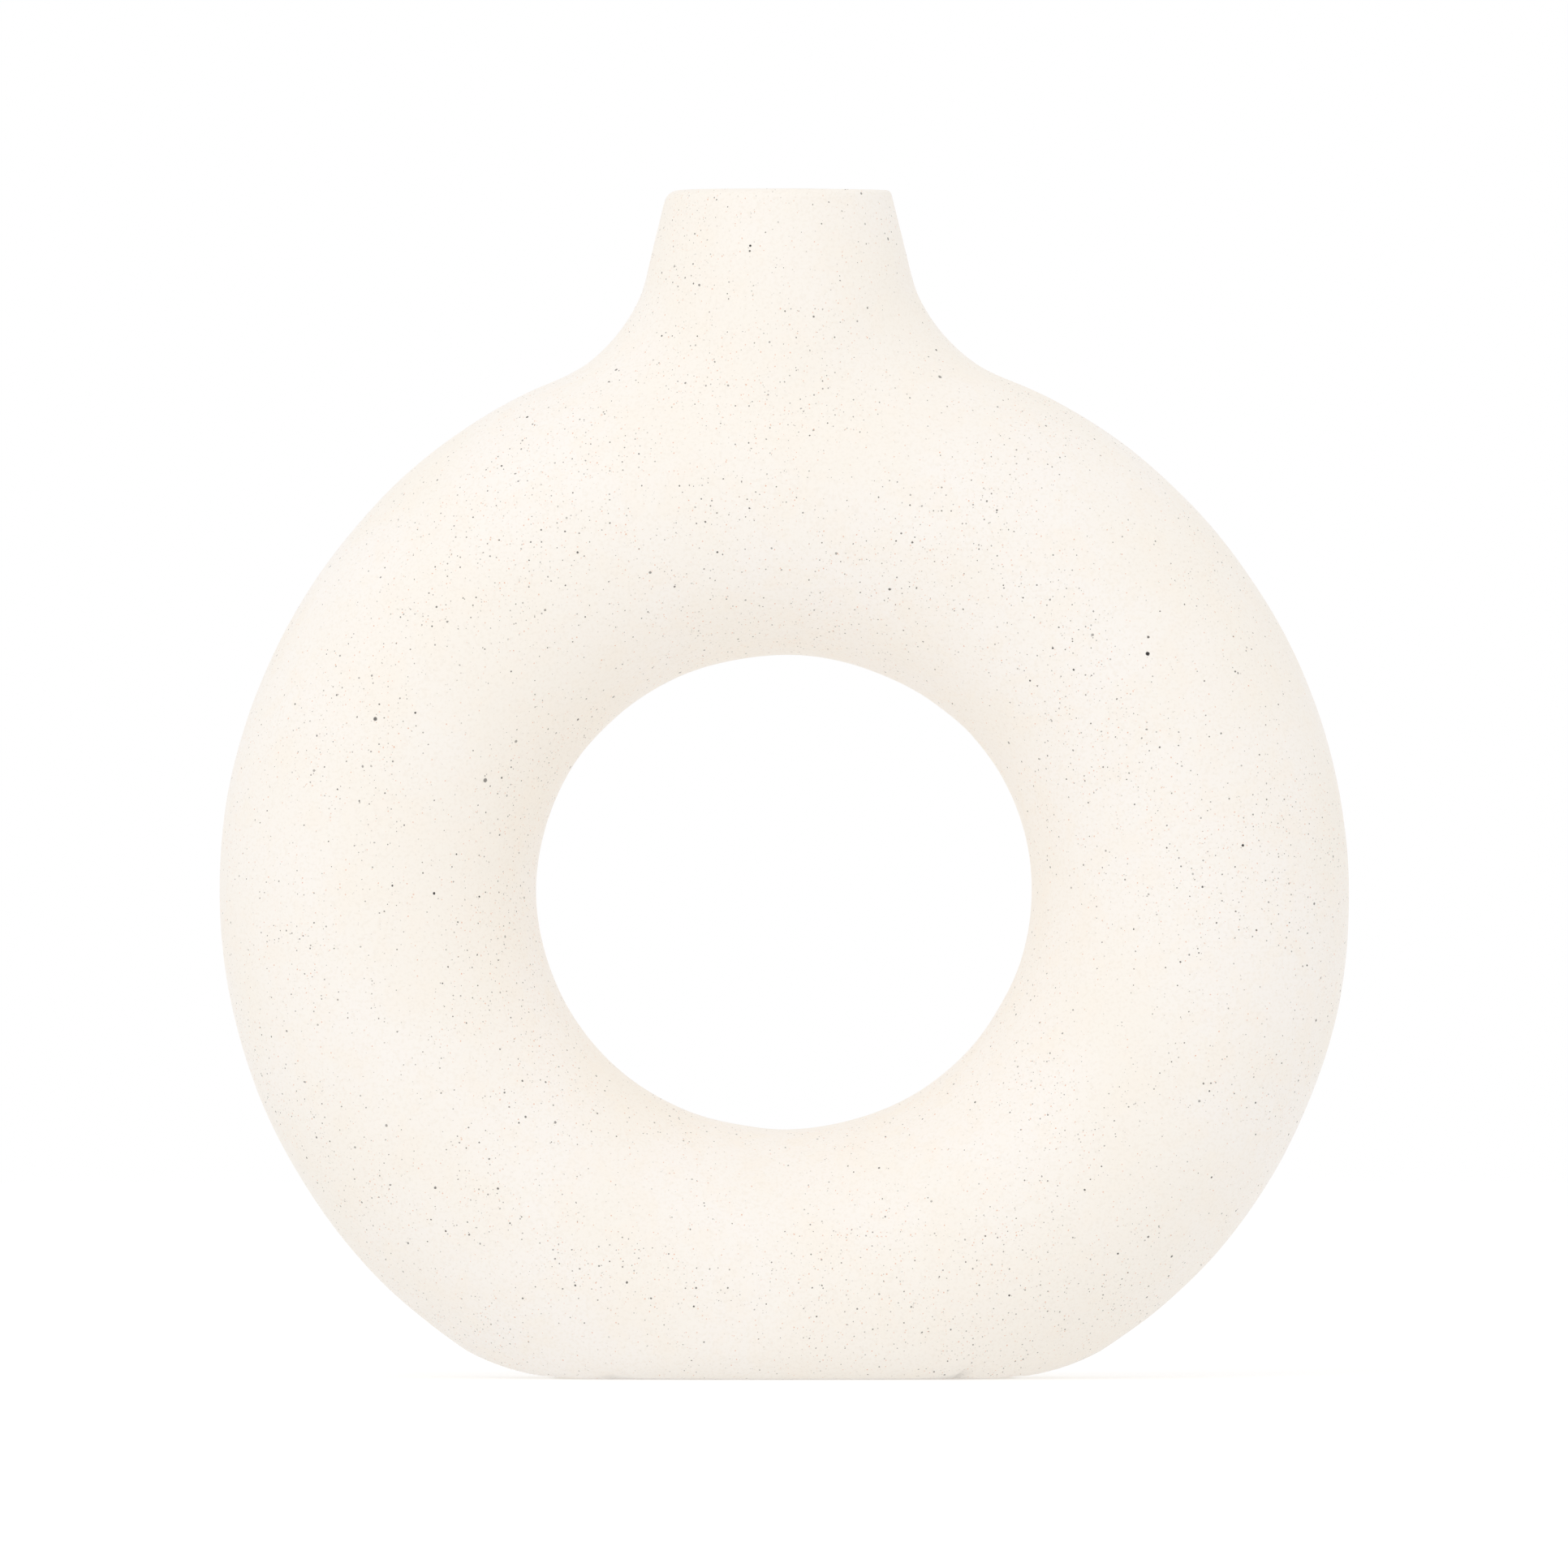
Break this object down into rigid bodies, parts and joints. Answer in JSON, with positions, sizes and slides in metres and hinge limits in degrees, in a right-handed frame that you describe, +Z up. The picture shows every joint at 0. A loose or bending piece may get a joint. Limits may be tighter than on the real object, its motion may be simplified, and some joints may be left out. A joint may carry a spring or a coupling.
{
  "type": "donut vase",
  "caption": "Ring-shaped stoneware flower vase with an open centre, a short flared neck with an open mouth, and a small flat foot.",
  "frame": {"origin": "on the surface the vase stands on, under the centre of the ring (bottom centre of its box)", "axes": "+Z up from the foot to the mouth, +X to the viewer's right across the ring, +Y from the front face through the ring's hole to the back face"},
  "size_m": [0.2002, 0.0566, 0.21],
  "materials": {
    "stoneware": "bare fired clay",
    "clay_slip": "fired luting slip",
    "matt_glaze": "matt, warm white, finely speckled",
    "liner_glaze": "glossy liner"
  },
  "bodies": {
    "root": {"foot_slab": "stoneware", "foot_slip": "clay_slip", "front_shell": "stoneware", "back_shell": "stoneware", "seam_slip": "clay_slip", "neck_slip": "clay_slip", "neck": "stoneware", "inner_glaze": "liner_glaze", "outer_glaze": "matt_glaze"}
  },
  "joints": []
}
